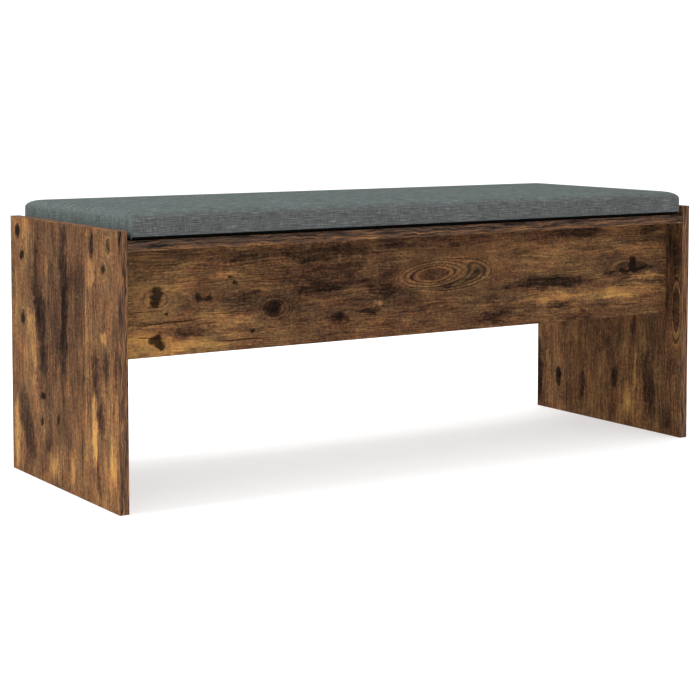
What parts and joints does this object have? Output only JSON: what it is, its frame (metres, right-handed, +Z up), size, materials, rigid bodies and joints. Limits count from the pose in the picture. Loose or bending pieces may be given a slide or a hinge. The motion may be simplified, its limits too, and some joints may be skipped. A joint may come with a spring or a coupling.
{
  "type": "storage bench",
  "caption": "Low hallway bench: a storage box hung between two plain side panels, with a lift-up seat board and a long grey cushion.",
  "frame": {"origin": "on the floor under the middle of the bench", "axes": "+X along the length, towards the right side panel; +Y from the front to the back; +Z up"},
  "size_m": [1.1, 0.4, 0.436],
  "materials": {
    "rustic_decor": "dark reclaimed-wood decor, satin melamine",
    "edge_band": "printed edge band matching the decor, satin",
    "beech_dowel": "plain beech",
    "zinc_cam": "die-cast zinc",
    "zinc_plated_steel": "bright zinc plate",
    "clear_buffer": "soft clear polyurethane",
    "black_tape": "hook and loop tape",
    "black_base": "black hardboard",
    "foam": "open-cell polyurethane foam",
    "grey_fabric": "slubby woven upholstery fabric"
  },
  "bodies": {
    "carcass": {"side_panel_left": "rustic_decor", "side_panel_right": "rustic_decor", "side_edging_left": "edge_band", "side_edging_right": "edge_band", "front_panel": "rustic_decor", "front_panel_edging": "edge_band", "back_panel": "rustic_decor", "back_panel_edging": "edge_band", "bottom_panel": "rustic_decor", "dowels_left": "beech_dowel", "dowels_right": "beech_dowel", "bottom_dowels": "beech_dowel", "front_panel_cams": "zinc_cam", "back_panel_cams": "zinc_cam", "bottom_panel_cams": "zinc_cam", "cam_bolts_left": "zinc_plated_steel", "cam_bolts_right": "zinc_plated_steel", "lid_buffers": "clear_buffer", "hinge_left_fixed_leaf": "zinc_plated_steel", "hinge_middle_fixed_leaf": "zinc_plated_steel", "hinge_right_fixed_leaf": "zinc_plated_steel", "hinge_left_pin": "zinc_plated_steel", "hinge_middle_pin": "zinc_plated_steel", "hinge_right_pin": "zinc_plated_steel", "hinge_screws_panel": "zinc_plated_steel"},
    "lid": {"lid_board": "rustic_decor", "lid_edging": "edge_band", "hinge_left_moving_leaf": "zinc_plated_steel", "hinge_middle_moving_leaf": "zinc_plated_steel", "hinge_right_moving_leaf": "zinc_plated_steel", "hinge_screws_lid": "zinc_plated_steel", "loop_strips": "black_tape", "hook_strips": "black_tape", "cushion_base": "black_base", "cushion_foam": "foam", "cushion_cover": "grey_fabric"}
  },
  "joints": [
    {"name": "lid_hinge", "type": "hinge", "parent": "carcass", "child": "lid", "pos_m": [0, 0.1618, 0.3772], "axis": [-1, 0, 0], "range_deg": [0, 95]}
  ]
}
